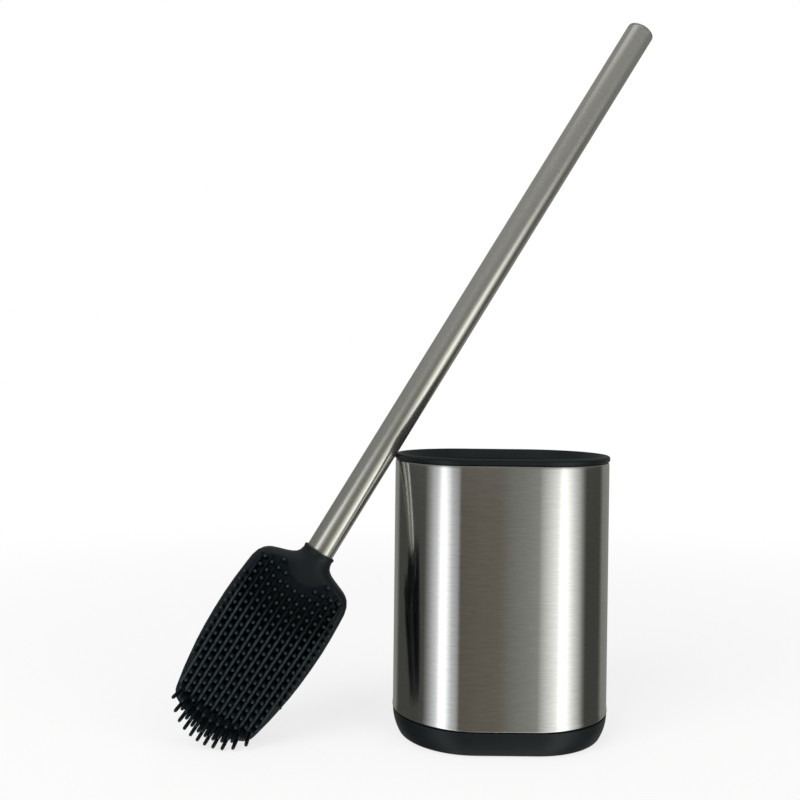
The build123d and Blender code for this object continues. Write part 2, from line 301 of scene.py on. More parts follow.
# Stainless steel brushed round the sleeve: the eye sees grey metal whose reflections keep sharp
# upright edges and smear up and down, crossed by fine level scratches. The scratches are about
# 0.05 mm wide and 5 mm long, and are drawn 0.45 mm wide and 7 mm long so that they show.
scratch_width = 0.45
scratch_length = 7.0
sleeve_steel = start_material("brushed_stainless_sleeve_steel")
tree = sleeve_steel.node_tree
coords = add_node(tree, "ShaderNodeTexCoord")
along_brushing = add_node(
    tree,
    "ShaderNodeMapping",
    {"vector_type": "TEXTURE"},
    {"Vector": coords.outputs["Object"], "Scale": (scratch_length * MM, scratch_length * MM, scratch_width * MM)},
)
scratches = add_node(
    tree,
    "ShaderNodeTexNoise",
    {},
    {"Vector": along_brushing.outputs["Vector"], "Scale": 1, "Detail": 3, "Roughness": 0.6},
)
tint = add_node(
    tree,
    "ShaderNodeMix",
    {"data_type": "RGBA"},
    {"Factor": scratches.outputs["Fac"], 6: linear("#B3B3AF"), 7: linear("#D3D3D0")},
)
gloss = add_node(
    tree, "ShaderNodeMapRange", {}, {"Value": scratches.outputs["Fac"], "To Min": 0.1, "To Max": 0.17}
)
bump = add_node(
    tree, "ShaderNodeBump", {}, {"Height": scratches.outputs["Fac"], "Strength": 0.1, "Distance": 0.02 * MM}
)
tangent = add_node(tree, "ShaderNodeTangent", {"direction_type": "RADIAL", "axis": "Z"})
shader = add_node(
    tree,
    "ShaderNodeBsdfPrincipled",
    {},
    {
        "Base Color": tint.outputs[2],
        "Metallic": 1,
        "Roughness": gloss.outputs["Result"],
        "Anisotropic": 0.9,
        "Anisotropic Rotation": 0.25,
        "Tangent": tangent.outputs["Tangent"],
        "Normal": bump.outputs["Normal"],
    },
)
add_node(tree, "ShaderNodeOutputMaterial", {}, {"Surface": shader.outputs["BSDF"]})
sleeve.data.materials.append(sleeve_steel)
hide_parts("steel_sleeve")
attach(sleeve, "holder")

# Liner: a drafted bucket moulded in the same black ABS, that lifts out to be emptied. Its rolled
# rim hangs on the sleeve's top hem over a narrow shadow gap, and its mouth slopes inwards.
liner_bottom = 5.8
liner_floor_top = 7.8
liner_round = 6.0
liner_wall = 1.8
liner_top_inset = 2.3
liner_bottom_inset = 4.9
rim_gap = 0.6
rim_gap_inset = 0.9
rim_overhang = 0.25
rim_under_round = 0.4
rim_round = 1.2
rim_turn = 95
rim_top = 138.1
funnel_depth = 4.7
mouth_inset = 6.6
rim_ridge_round = 0.5
rim_ridge_turn = 40
rim_ridge_inset = 2.2

rim_bottom = sleeve_top + rim_gap
inner_round = liner_round - liner_wall
liner_profile = [
    *rounded((liner_bottom_inset + liner_round, liner_bottom + liner_round), liner_round, 270, 180),
    (liner_top_inset, sleeve_top),
    (rim_gap_inset, sleeve_top),
    (rim_gap_inset, rim_bottom),
    *rounded((rim_under_round - rim_overhang, rim_bottom + rim_under_round), rim_under_round, 270, 180, 4),
    *rounded((rim_round - rim_overhang, rim_top - rim_round), rim_round, 180, rim_turn, 8),
    *rounded((rim_ridge_inset, rim_top - rim_ridge_round), rim_ridge_round, 90, rim_ridge_turn, 4),
    (mouth_inset, rim_top - funnel_depth),
    *rounded(
        (liner_bottom_inset + liner_wall + inner_round, liner_floor_top + inner_round), inner_round, 180, 270
    ),
]
liner = draw_stadium("inner_liner_bucket", *liner_profile[0])
carry_outline(liner_profile)
close_piece()
liner.data.materials.append(black_abs)
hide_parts("inner_liner")
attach(liner, "liner")

# Handle: a drawn stainless steel tube, pushed on to the nylon spigot in the brush head. It is
# modelled upright, from where it leaves the head, and then leant as the brush stands on the rim.
lean_right = math.radians(31.13)
lean_back = math.radians(5.0)
tube_radius = 7.0
tube_bore = 6.2
tube_bottom = -15.0
tube_top = 308.9
tube_edge_round = 0.15
tube_edge_middle = 0.3 * tube_edge_round
tube_sides = 96
ring_tolerance = 0.01

handle_turn = Euler((-lean_back, lean_right, 0))
handle_direction = handle_turn.to_matrix() @ Vector((0, 0, 1))
tube_low, tube_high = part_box("handle_tube")
collar_place = (tube_low + tube_high) / 2 - handle_direction * (tube_bottom + tube_top) / 2 * MM


def lean_piece(piece, turn, place):
    """Turns a piece that was modelled upright at the origin, and moves it to where it is on the brush."""
    piece.rotation_euler = turn
    piece.location = place
    bpy.ops.object.transform_apply(location=True, rotation=True, scale=True)


def carry_ring(profile):
    """Extrudes the selected ring through a profile of (radius, height) points."""
    radius, height = profile[0]
    for next_radius, next_height in profile[1:]:
        rise = (0, 0, (next_height - height) * MM)
        bpy.ops.mesh.extrude_region_move(TRANSFORM_OT_translate={"value": rise})
        ratio = next_radius / radius
        bpy.ops.transform.resize(value=(ratio, ratio, 1), center_override=(0, 0, 0))
        radius, height = next_radius, next_height


def select_ring(piece, height):
    """Selects the open ring of edges at a height of the piece that is in edit mode."""
    bpy.ops.mesh.select_mode(type="EDGE")
    bpy.ops.mesh.select_all(action="DESELECT")
    mesh = bmesh.from_edit_mesh(piece.data)
    for edge in mesh.edges:
        if all(abs(vert.co.z - height * MM) < ring_tolerance * MM for vert in edge.verts):
            edge.select_set(True)
    bmesh.update_edit_mesh(piece.data)


bpy.ops.object.select_all(action="DESELECT")
bpy.ops.mesh.primitive_cylinder_add(
    vertices=tube_sides,
    radius=tube_radius * MM,
    depth=(tube_top - tube_bottom - 2 * tube_edge_round) * MM,
    end_fill_type="NOTHING",
)
tube = open_piece("handle_steel_tube")
bpy.ops.transform.translate(value=(0, 0, (tube_bottom + tube_top) / 2 * MM))
for end, inward in ((tube_top, -1), (tube_bottom, 1)):
    edge_height = end + inward * tube_edge_round
    select_ring(tube, edge_height)
    carry_ring(
        [
            (tube_radius, edge_height),
            (tube_radius - tube_edge_middle, end + inward * tube_edge_middle),
            (tube_radius - tube_edge_round, end),
            (tube_bore, end),
            (tube_bore, (tube_bottom + tube_top) / 2),
        ]
    )
close_piece()
lean_piece(tube, handle_turn, collar_place)

# Stainless steel brushed round the tube: grey metal whose reflections run as long lines down the
# tube. It looks a little duller than the sleeve, so it is not wholly metallic. The scratches are
# about 0.05 mm wide, and are drawn as wide as the sleeve's and 9 mm long so that they show.
tube_scratch_length = 9.0
handle_steel = start_material("brushed_stainless_handle_steel")
tree = handle_steel.node_tree
coords = add_node(tree, "ShaderNodeTexCoord")
along_brushing = add_node(
    tree,
    "ShaderNodeMapping",
    {"vector_type": "TEXTURE"},
    {
        "Vector": coords.outputs["Object"],
        "Location": collar_place,
        "Rotation": handle_turn,
        "Scale": (tube_scratch_length * MM, tube_scratch_length * MM, scratch_width * MM),
    },
)
scratches = add_node(
    tree,
    "ShaderNodeTexNoise",
    {},
    {"Vector": along_brushing.outputs["Vector"], "Scale": 1, "Detail": 3, "Roughness": 0.6},
)
tint = add_node(
    tree,
    "ShaderNodeMix",
    {"data_type": "RGBA"},
    {"Factor": scratches.outputs["Fac"], 6: linear("#B6B5AD"), 7: linear("#C0BFB7")},
)
gloss = add_node(
    tree, "ShaderNodeMapRange", {}, {"Value": scratches.outputs["Fac"], "To Min": 0.2, "To Max": 0.26}
)
bump = add_node(
    tree, "ShaderNodeBump", {}, {"Height": scratches.outputs["Fac"], "Strength": 0.04, "Distance": 0.02 * MM}
)
tangent = add_node(tree, "ShaderNodeTangent", {"direction_type": "UV_MAP", "uv_map": "UVMap"})
shader = add_node(
    tree,
    "ShaderNodeBsdfPrincipled",
    {},
    {
        "Base Color": tint.outputs[2],
        "Metallic": 0.88,
        "Roughness": gloss.outputs["Result"],
        "Anisotropic": 0.9,
        "Anisotropic Rotation": 0.25,
        "Tangent": tangent.outputs["Tangent"],
        "Normal": bump.outputs["Normal"],
    },
)
add_node(tree, "ShaderNodeOutputMaterial", {}, {"Surface": shader.outputs["BSDF"]})
tube.data.materials.append(handle_steel)
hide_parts("handle_tube")
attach(tube, "brush")

# End cap: a turned steel disc with a rounded edge, whose plug is pressed into the top of the
# tube. Its face is very slightly domed, and a fine joint shows between it and the tube.
cap_top = 310.3
cap_round = 0.9
cap_dome = 0.12
cap_dome_shares = ((0.5, 0.75), (0.1, 1))
cap_joint_depth = 0.08
cap_joint_floor = 0.02
cap_joint_height = 0.1
plug_radius = 6.15
plug_length = 8.0
cap_profile = [
    (plug_radius, tube_top - plug_length),
    (plug_radius, tube_top),
    (tube_radius - cap_joint_depth, tube_top + cap_joint_floor),
    (tube_radius, tube_top + cap_joint_height),
    *rounded((tube_radius - cap_round, cap_top - cap_round), cap_round, 0, 90, 8),
    *[(tube_radius * out, cap_top + cap_dome * rise) for out, rise in cap_dome_shares],
]
bpy.ops.object.select_all(action="DESELECT")
bpy.ops.mesh.primitive_circle_add(vertices=tube_sides, radius=cap_profile[0][0] * MM, fill_type="NGON")
cap = open_piece("handle_cap_disc")
bpy.ops.transform.translate(value=(0, 0, cap_profile[0][1] * MM))
carry_ring(cap_profile)
close_piece()
lean_piece(cap, handle_turn, collar_place)

# Turned stainless steel: the same grey metal as the tube, with rings round its middle. They are about
# 0.1 mm apart in truth, and are drawn 0.5 mm apart so that they show.
ring_pitch = 0.5
cap_steel = start_material("turned_stainless_cap_steel")
tree = cap_steel.node_tree
coords = add_node(tree, "ShaderNodeTexCoord")
about_axis = add_node(
    tree,
    "ShaderNodeMapping",
    {"vector_type": "TEXTURE"},
    {"Vector": coords.outputs["Object"], "Location": collar_place, "Rotation": handle_turn},
)
rings = add_node(
    tree,
    "ShaderNodeTexWave",
    {"wave_type": "RINGS", "rings_direction": "Z"},
    {"Vector": about_axis.outputs["Vector"], "Scale": wave_length / (ring_pitch * MM), "Distortion": 0.5},
)
gloss = add_node(tree, "ShaderNodeMapRange", {}, {"Value": rings.outputs["Fac"], "To Min": 0.26, "To Max": 0.36})
bump = add_node(
    tree, "ShaderNodeBump", {}, {"Height": rings.outputs["Fac"], "Strength": 0.15, "Distance": 0.02 * MM}
)
shader = add_node(
    tree,
    "ShaderNodeBsdfPrincipled",
    {},
    {
        "Base Color": linear("#BFBEB7"),
        "Metallic": 1,
        "Roughness": gloss.outputs["Result"],
        "Normal": bump.outputs["Normal"],
    },
)
add_node(tree, "ShaderNodeOutputMaterial", {}, {"Surface": shader.outputs["BSDF"]})
cap.data.materials.append(cap_steel)
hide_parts("handle_end_cap")
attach(cap, "brush")

# Spigot: a turned nylon core that joins the tube to the head. It is hidden in both of them, so its
# own solid is kept and only its finish is made here.
# Turned nylon is milky white and a little waxy, with faint tool marks 1 mm apart.
tool_mark = 1.0
nylon = start_material("turned_white_nylon")
tree = nylon.node_tree
coords = add_node(tree, "ShaderNodeTexCoord")
marks = add_node(
    tree, "ShaderNodeTexNoise", {}, {"Vector": coords.outputs["Object"], "Scale": 1 / (tool_mark * MM)}
)
tint = add_node(
    tree,
    "ShaderNodeMix",
    {"data_type": "RGBA"},
    {"Factor": marks.outputs["Fac"], 6: linear("#DEDCD2"), 7: linear("#EDEBE3")},
)
shader = add_node(
    tree, "ShaderNodeBsdfPrincipled", {}, {"Base Color": tint.outputs[2], "Roughness": 0.45, "IOR": 1.53}
)
add_node(tree, "ShaderNodeOutputMaterial", {}, {"Surface": shader.outputs["BSDF"]})
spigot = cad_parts["handle_spigot"]
spigot.data.materials.clear()
spigot.data.materials.append(nylon)

# Brush head: a paddle moulded in soft black rubber over a stiff core, with a round neck that grips
# the tube and bends a little under the brush's weight. It is built as rings up its length, each a
# full oval as wide and thick as the head there, and ends in a bead round the tube.
head_bend = math.radians(1.55)
head_length = 99.0
neck_radius = 8.3
socket_radius = 7.05
bead_start, bead_end = 0.1, 0.3
head_smooth_angle = 50
ring_points = 96
head_turn = (handle_turn.to_matrix() @ Matrix.Rotation(head_bend, 3, "Y")).to_euler()
head_end = collar_place - head_turn.to_matrix() @ Vector((0, 0, head_length * MM))
# Height up the head, half width, half thickness, and how full the oval is (2 is an ellipse)
head_rings = [
    (0.05, 3.1, 3.6, 2.8),
    (0.3, 6.0, 4.4, 2.8),
    (0.8, 8.9, 5.2, 2.8),
    (1.6, 12.2, 6.2, 2.8),
    (2.4, 14.6, 6.9, 2.8),
    (3.4, 17.2, 7.5, 2.8),
    (4.6, 19.6, 8.1, 2.8),
    (6.0, 21.0, 8.6, 2.8),
    (7.5, 21.9, 9.0, 2.8),
    (9.2, 22.4, 9.3, 2.8),
    (12.0, 23.0, 9.45, 2.8),
    (18.0, 24.3, 9.5, 2.8),
    (24.0, 25.3, 9.5, 2.8),
    (32.0, 26.5, 9.5, 2.8),
    (40.0, 27.3, 9.5, 2.8),
    (49.0, 27.8, 9.5, 2.8),
    (58.4, 28.0, 9.5, 2.8),
    (66.0, 27.8, 9.5, 2.8),
    (74.0, 27.3, 9.5, 2.8),
    (80.0, 26.8, 9.5, 2.8),
    (83.5, 25.8, 9.5, 2.8),
    (86.0, 24.2, 9.5, 2.75),
    (87.5, 22.5, 9.45, 2.7),
    (88.4, 20.8, 9.4, 2.65),
    (89.2, 18.7, 9.3, 2.6),
    (90.0, 16.4, 9.2, 2.55),
    (91.0, 13.6, 9.1, 2.5),
    (92.0, 11.4, 8.9, 2.4),
    (93.0, 9.9, 8.7, 2.3),
    (94.0, 9.0, 8.5, 2.2),
    (95.0, 8.5, 8.25, 2.1),
    (96.0, 8.2, 8.05, 2.0),
    (97.2, 8.0, 7.9, 2.0),
    (98.0, neck_radius - bead_start, neck_radius - bead_start, 2.0),
    (98.6, neck_radius, neck_radius, 2.0),
]


def signed_power(value, power):
    """A power that keeps the value's sign."""
    return math.copysign(abs(value) ** power, value)


def carry_ovals(piece, was, rings):
    """Extrudes the selected ring, an oval, through more ovals up the head."""
    for ring in rings:
        bpy.ops.mesh.extrude_region_move()
        mesh = bmesh.from_edit_mesh(piece.data)
        for vert in (v for v in mesh.verts if v.select):
            turn = math.atan2(
                signed_power(vert.co.y / (was[2] * MM), was[3] / 2), signed_power(vert.co.x / (was[1] * MM), was[3] / 2)
            )
            vert.co.x = ring[1] * MM * signed_power(math.cos(turn), 2 / ring[3])
            vert.co.y = ring[2] * MM * signed_power(math.sin(turn), 2 / ring[3])
            vert.co.z = ring[0] * MM
        bmesh.update_edit_mesh(piece.data)
        was = ring


first_oval = (0.0, 1.0, 1.0, 2.0)
socket_rings = [
    (head_length, neck_radius - bead_end, neck_radius - bead_end, 2.0),
    (head_length, socket_radius, socket_radius, 2.0),
    (head_length + tube_bottom, socket_radius, socket_radius, 2.0),
]
bpy.ops.object.select_all(action="DESELECT")
bpy.ops.mesh.primitive_circle_add(vertices=ring_points, radius=first_oval[1] * MM, fill_type="NGON")
head = open_piece("brush_head_paddle")
carry_ovals(head, first_oval, head_rings + socket_rings)
bpy.ops.transform.translate(value=(-tube_bottom * math.tan(head_bend) * MM, 0, 0))
close_piece(head_smooth_angle)
lean_piece(head, head_turn, head_end)

# Soft black rubber (TPE) moulded over the core: the eye sees a deep black with a low, broad sheen
# and a fine matt grain. The grain is about 0.1 mm in truth, and is drawn at 0.6 mm so that it shows.
rubber_grain = 0.6
soft_rubber = start_material("moulded_soft_black_tpe")
tree = soft_rubber.node_tree
coords = add_node(tree, "ShaderNodeTexCoord")
grain = add_node(
    tree, "ShaderNodeTexNoise", {}, {"Vector": coords.outputs["Object"], "Scale": 1 / (rubber_grain * MM), "Detail": 2}
)
tint = add_node(
    tree,
    "ShaderNodeMix",
    {"data_type": "RGBA"},
    {"Factor": grain.outputs["Fac"], 6: linear("#0B1113"), 7: linear("#12191C")},
)
gloss = add_node(
    tree, "ShaderNodeMapRange", {}, {"Value": grain.outputs["Fac"], "To Min": 0.4, "To Max": 0.55}
)
bump = add_node(
    tree, "ShaderNodeBump", {}, {"Height": grain.outputs["Fac"], "Strength": 0.3, "Distance": 0.04 * MM}
)
shader = add_node(
    tree,
    "ShaderNodeBsdfPrincipled",
    {},
    {
        "Base Color": tint.outputs[2],
        "Roughness": gloss.outputs["Result"],
        "IOR": 1.5,
        "Specular IOR Level": 0.3,
        "Normal": bump.outputs["Normal"],
    },
)
add_node(tree, "ShaderNodeOutputMaterial", {}, {"Surface": shader.outputs["BSDF"]})
head.data.materials.append(soft_rubber)
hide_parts("head_frame")
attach(head, "brush")

# Nubbed pads: one soft rubber pad on each face of the head, with tall ribs up its length and rows
# of round-tipped nubs between them. Each is moulded in one piece and let into the paddle's
# face. The nubs stand straight out, and lean over the head's edge along its end.
pad_swell = 0.4
pad_thickness = 1.6
pad_rows = 48
rib_width = 1.7
rib_height = 5.2
rib_pitch = 4.1
rib_count = 12
rib_convergence = 0.08
rib_start = (8.0, 13.0)
rib_fade = (15.0, 40.0)
# Painted highlight on the ribs' crests and the nubs' tips: how sharply it gathers at the top, and how strong it is on a
# nub
rib_highlight_power = 4
nub_highlight, nub_highlight_power = 0.8, 18
rib_section = [(-0.5, 0), (-0.42, 0.85), (-0.24, 1), (0.24, 1), (0.42, 0.85), (0.5, 0)]
nub_pitch = 4.45
nub_row_start = -0.4
nub_margin = (-0.6, 0.8)
nub_side_margin = 1.6
last_end_row = 3
end_half_row = 0.75
nub_length = 8.0
nub_sides = 10
nub_smooth_angle = 60
nub_splay = 12.0
end_splay = 50.0
end_splay_reach = 14.0
side_splay = 0.1
end_side_splay = 0.5
side_splay_reach = 22.0
end_row_arc = 30.6
floor_give = (3.0, 0.66)
belly_height = 58.4
shoulder_height = 86.3
neck_root_height = 94.5
# The pad's edge on the head's right half, as (across, height), under and over its widest place
pad_lower_edge = [
    (0, 2.4), (6, 2.8), (10.2, 3.8), (14.9, 5.6), (17.6, 7), (19.1, 8.5), (20.2, 12), (21.9, 20), (23.4, 28),
    (24.7, 38), (25.4, 48), (25.6, belly_height),
]
pad_upper_edge = [
    (0, 81.9), (4, 82.6), (8, 84.8), (10.5, 87.5), (11.5, 89.2), (13.4, 88.6), (17.4, 86.8), (19.2, 86), (21.4, 85),
    (22.7, 84), (23.8, 82), (24.6, 76), (25.3, 68), (25.6, belly_height),
]


def spread(height):
    """How far the ribs have drawn in at a height, as a share of their pitch at the belly."""
    return 1 - rib_convergence * max(0, 1 - height / belly_height)


def pad_reach(column):
    """Lowest and highest point of the pad on a line between the ribs, counted across at the belly."""
    ends = []
    for edge in (pad_lower_edge, pad_upper_edge):
        ends.append(np.interp(abs(column), [across / spread(height) for across, height in edge], [p[1] for p in edge]))
    return ends


def head_face(across, height):
    """How far the head's face stands from its middle plane."""
    levels = [ring[0] for ring in head_rings]
    half_width, half_thickness, fullness = (
        np.interp(height, levels, [ring[i] for ring in head_rings]) for i in (1, 2, 3)
    )
    return half_thickness * max(0, 1 - abs(across / half_width) ** fullness) ** (1 / fullness)


def rib_rise(across, height):
    """How much of its full height a rib has at a place: it starts above the end and fades towards the neck."""
    from_neck = math.hypot(across, neck_root_height - height)
    return np.interp(height, rib_start, (0, 1)) * np.interp(from_neck, rib_fade, (0, 1))


# Lines up the pad, as (place across at the belly, share of a rib's height). The grid's columns are
# moved to them.
pad_half_width = pad_lower_edge[-1][0]
ribs = [(index - (rib_count - 1) / 2) * rib_pitch for index in range(rib_count)]
columns = [(-pad_half_width, 0), ((ribs[0] - pad_half_width) / 2, 0)]
for rib in ribs:
    columns += [(rib + rib_width * aside, rise) for aside, rise in rib_section]
columns += [((ribs[-1] + pad_half_width) / 2, 0), (pad_half_width, 0)]

bpy.ops.object.select_all(action="DESELECT")
bpy.ops.mesh.primitive_grid_add(x_subdivisions=len(columns) - 1, y_subdivisions=pad_rows, size=1)
front_pad = open_piece("front_nub_field")
mesh = bmesh.from_edit_mesh(front_pad.data)
# Painted highlight: each rib's crest gets a share that paints it lighter, as if it caught the light
painted_highlight = mesh.verts.layers.float.new("painted_highlight")
for vert in mesh.verts:
    column, rise = columns[round((vert.co.x + 0.5) * (len(columns) - 1))]
    low, high = pad_reach(column)
    height = low + (vert.co.y + 0.5) * (high - low)
    across = column * spread(height)
    rise *= rib_rise(across, height)
    vert[painted_highlight] = rise**rib_highlight_power
    vert.co = Vector((across, -head_face(across, height) - pad_swell - rib_height * rise, height)) * MM
bmesh.update_edit_mesh(front_pad.data)
bpy.ops.object.mode_set(mode="OBJECT")
wall = front_pad.modifiers.new("wall", "SOLIDIFY")
wall.thickness = pad_thickness * MM
wall.offset = -1
bpy.ops.object.modifier_apply(modifier="wall")

nub_profile = [(1.05, -1.2), (0.88, 7.0), (0.72, 7.6), (0.42, 7.9), (0.14, nub_length)]
bpy.ops.object.select_all(action="DESELECT")
bpy.ops.mesh.primitive_circle_add(vertices=nub_sides, radius=nub_profile[0][0] * MM, fill_type="NGON")
nub = open_piece("nub")
bpy.ops.transform.translate(value=(0, 0, nub_profile[0][1] * MM))
carry_ring(nub_profile)
mesh = bmesh.from_edit_mesh(nub.data)
# Painted highlight: each nub's tip gets a share that paints it lighter, as if it caught the light
painted_highlight = mesh.verts.layers.float.new("painted_highlight")
for vert in mesh.verts:
    vert[painted_highlight] = nub_highlight * max(0, vert.co.z / (nub_length * MM)) ** nub_highlight_power
bmesh.update_edit_mesh(nub.data)
close_piece(nub_smooth_angle)

# Nubs stand between the ribs, as (place across in rib pitches, row), with half a row more at the end
rows = range(int(shoulder_height / nub_pitch) + 1)
nub_places = [(index - rib_count / 2, row) for index in range(rib_count + 1) for row in rows]
nub_places += [(rib / rib_pitch, end_half_row) for rib in ribs]
nub_copies = []
for place, row in nub_places:
    column = place * rib_pitch
    low, high = pad_reach(column)
    bow = (1 - row * nub_pitch / neck_root_height) * (end_row_arc - math.sqrt(end_row_arc**2 - column**2))
    height = pad_lower_edge[0][1] + nub_row_start + row * nub_pitch + bow
    across = column * spread(height)
    beside = np.interp(height, *zip(*((ring[0], ring[1]) for ring in head_rings))) - abs(across)
    off_pad = not low + nub_margin[0] <= height <= high - nub_margin[1]
    if off_pad or (row > last_end_row and beside < nub_side_margin):
        continue
    slope = head_face(across + 0.5, height) - head_face(across - 0.5, height)
    lean_aside = -slope * max(side_splay, end_side_splay * (1 - height / side_splay_reach))
    lean_over = nub_splay * (2 * height / shoulder_height - 1) - end_splay * max(0, 1 - height / end_splay_reach)
    outward = Vector((lean_aside, -math.cos(math.radians(lean_over)), math.sin(math.radians(lean_over))))
    root = Vector((across, -head_face(across, height) - pad_swell, height)) * MM
    copy = nub.copy()
    copy.data = nub.data.copy()
    copy.matrix_world = Matrix.Translation(root) @ outward.to_track_quat("Z", "Y").to_matrix().to_4x4()
    bpy.context.scene.collection.objects.link(copy)
    nub_copies.append(copy)
bpy.data.objects.remove(nub)
bpy.ops.object.select_all(action="DESELECT")
for copy in nub_copies:
    copy.select_set(True)
front_pad.select_set(True)
bpy.context.view_layer.objects.active = front_pad
bpy.ops.object.join()
bpy.ops.object.shade_smooth_by_angle(angle=math.radians(nub_smooth_angle))
bpy.ops.object.duplicate()
back_pad = bpy.context.object
back_pad.name = back_pad.data.name = "back_nub_field"
bpy.ops.transform.rotate(value=math.pi, orient_axis="Z", center_override=(0, 0, 0))
bpy.ops.object.transform_apply(location=True, rotation=True, scale=True)
lean_piece(back_pad, head_turn, head_end)
# The back pad's lowest nubs rest on the floor, which presses them up
give_height, give_share = floor_give
for vert in back_pad.data.vertices:
    if vert.co.z < give_height * MM:
        vert.co.z = give_height * MM - (give_height * MM - vert.co.z) * give_share
bpy.ops.object.select_all(action="DESELECT")
front_pad.select_set(True)
bpy.context.view_layer.objects.active = front_pad
lean_piece(front_pad, head_turn, head_end)

# Soft black rubber of the pads: deep black, with a painted highlight that lightens the nubs' tips and the crests of the
# ribs to a dull dark grey, as if they caught the light. The mould's grain, about 0.1 mm in truth, is drawn at 0.4 mm so
# that it shows on the ribs.
nub_grain = 0.4
nub_rubber = start_material("moulded_soft_black_nub_rubber")
tree = nub_rubber.node_tree
coords = add_node(tree, "ShaderNodeTexCoord")
grain = add_node(
    tree, "ShaderNodeTexNoise", {}, {"Vector": coords.outputs["Object"], "Scale": 1 / (nub_grain * MM), "Detail": 2}
)
highlight_source = add_node(tree, "ShaderNodeAttribute", {"attribute_name": "painted_highlight"})
uneven = add_node(tree, "ShaderNodeMapRange", {}, {"Value": grain.outputs["Fac"], "To Min": 0.6, "To Max": 1.2})
highlight_share = add_node(
    tree, "ShaderNodeMath", {"operation": "MULTIPLY"}, {0: highlight_source.outputs["Fac"], 1: uneven.outputs["Result"]}
)
# Painted highlight: the black is painted towards a dull dark grey where the share is high, on the tips and crests
tint = add_node(
    tree,
    "ShaderNodeMix",
    {"data_type": "RGBA"},
    {"Factor": highlight_share.outputs["Value"], 6: linear("#0D1417"), 7: linear("#323A3E")},
)
gloss = add_node(
    tree, "ShaderNodeMapRange", {}, {"Value": grain.outputs["Fac"], "To Min": 0.45, "To Max": 0.6}
)
shader = add_node(
    tree,
    "ShaderNodeBsdfPrincipled",
    {},
    {"Base Color": tint.outputs[2], "Roughness": gloss.outputs["Result"], "IOR": 1.5, "Specular IOR Level": 0.15},
)
add_node(tree, "ShaderNodeOutputMaterial", {}, {"Surface": shader.outputs["BSDF"]})
for pad, node_name in ((front_pad, "front_nub_pad"), (back_pad, "back_nub_pad")):
    pad.data.materials.clear()
    pad.data.materials.append(nub_rubber)
    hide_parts(node_name)
    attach(pad, "brush")

# Floor: a plain pale sheet under the object, that keeps the object's soft shadow and fades to the
# white of the surround. It is not part of the object.
floor_size = 6.0
shadow_reach = (0.2, 0.8)
floor_white = 0.75
bpy.ops.object.select_all(action="DESELECT")
bpy.ops.mesh.primitive_plane_add(size=floor_size)
floor = bpy.context.object
floor.name = "studio_floor"
floor.visible_glossy = False
pale_floor = start_material("pale_studio_floor")
tree = pale_floor.node_tree
coords = add_node(tree, "ShaderNodeTexCoord")
distance = add_node(tree, "ShaderNodeVectorMath", {"operation": "LENGTH"}, {0: coords.outputs["Object"]})
far = add_node(
    tree,
    "ShaderNodeMapRange",
    {"interpolation_type": "SMOOTHSTEP"},
    {
        "Value": distance.outputs["Value"],
        "From Min": shadow_reach[0],
        "From Max": shadow_reach[1],
        "To Min": floor_white,
    },
)
ray = add_node(tree, "ShaderNodeLightPath")
seen_far = add_node(
    tree, "ShaderNodeMath", {"operation": "MULTIPLY"}, {0: far.outputs["Result"], 1: ray.outputs["Is Camera Ray"]}
)
near_floor = add_node(tree, "ShaderNodeBsdfDiffuse", {}, {"Color": linear("#F4F4F2")})
white = add_node(tree, "ShaderNodeEmission", {}, {"Color": (1, 1, 1, 1), "Strength": 1})
surface = add_node(
    tree,
    "ShaderNodeMixShader",
    {},
    {0: seen_far.outputs["Value"], 1: near_floor.outputs["BSDF"], 2: white.outputs["Emission"]},
)
add_node(tree, "ShaderNodeOutputMaterial", {}, {"Surface": surface.outputs["Shader"]})
floor.data.materials.append(pale_floor)

# Studio surround: what the steel mirrors, a dim room with a tall soft window in front of the object
# on each side, and a grey ceiling. Only reflections see it, and it is not part of the object.
surround_radius = 1.5
surround_height = 10.0
surround_sides = 96
window_top = (0.1, 0.45)
ceiling_rise = (0.5, 1.3)
ceiling_light = (0.24, 0.34)
brightest = 2.6
daylight, lamplight, timber, plaster = "#FAFCFF", "#FEFFFD", "#FFF2DE", "#FCFDF5"
# Direction round the object, from the camera's side towards the right, how bright it is, and its tint
room = [
    (-180, 0.32, plaster), (-146, 0.3, plaster), (-136, 0.08, plaster), (-78, 0.1, plaster), (-70, 0.4, daylight),
    (-57, 1.15, daylight), (-49, 2.6, daylight), (-43, 1.9, daylight), (-36, 0.9, daylight), (-27, 0.5, daylight),
    (-24, 0.16, timber), (6, 0.19, timber), (6.6, 0.27, plaster), (9, 0.32, plaster), (14, 0.65, plaster),
    (35, 1.5, lamplight), (43, 2.5, lamplight), (60, 1.15, lamplight), (76, 0.26, plaster), (81, 0.08, plaster),
    (112, 0.08, plaster), (122, 0.3, plaster), (180, 0.3, plaster),
]
bpy.ops.object.select_all(action="DESELECT")
bpy.ops.mesh.primitive_cylinder_add(
    vertices=surround_sides, radius=surround_radius, depth=surround_height, end_fill_type="NOTHING"
)
surround = bpy.context.object
surround.name = "studio_surround"
for sight in ("camera", "diffuse", "transmission", "volume_scatter", "shadow"):
    setattr(surround, f"visible_{sight}", False)
room_light = start_material("studio_room")
tree = room_light.node_tree
coords = add_node(tree, "ShaderNodeTexCoord")
place = add_node(tree, "ShaderNodeSeparateXYZ", {}, {"Vector": coords.outputs["Object"]})
towards_camera = add_node(tree, "ShaderNodeMath", {"operation": "MULTIPLY"}, {0: place.outputs["Y"], 1: -1})
direction = add_node(
    tree, "ShaderNodeMath", {"operation": "ARCTAN2"}, {0: place.outputs["X"], 1: towards_camera.outputs["Value"]}
)
turn = add_node(
    tree, "ShaderNodeMapRange", {}, {"Value": direction.outputs["Value"], "From Min": -math.pi, "From Max": math.pi}
)
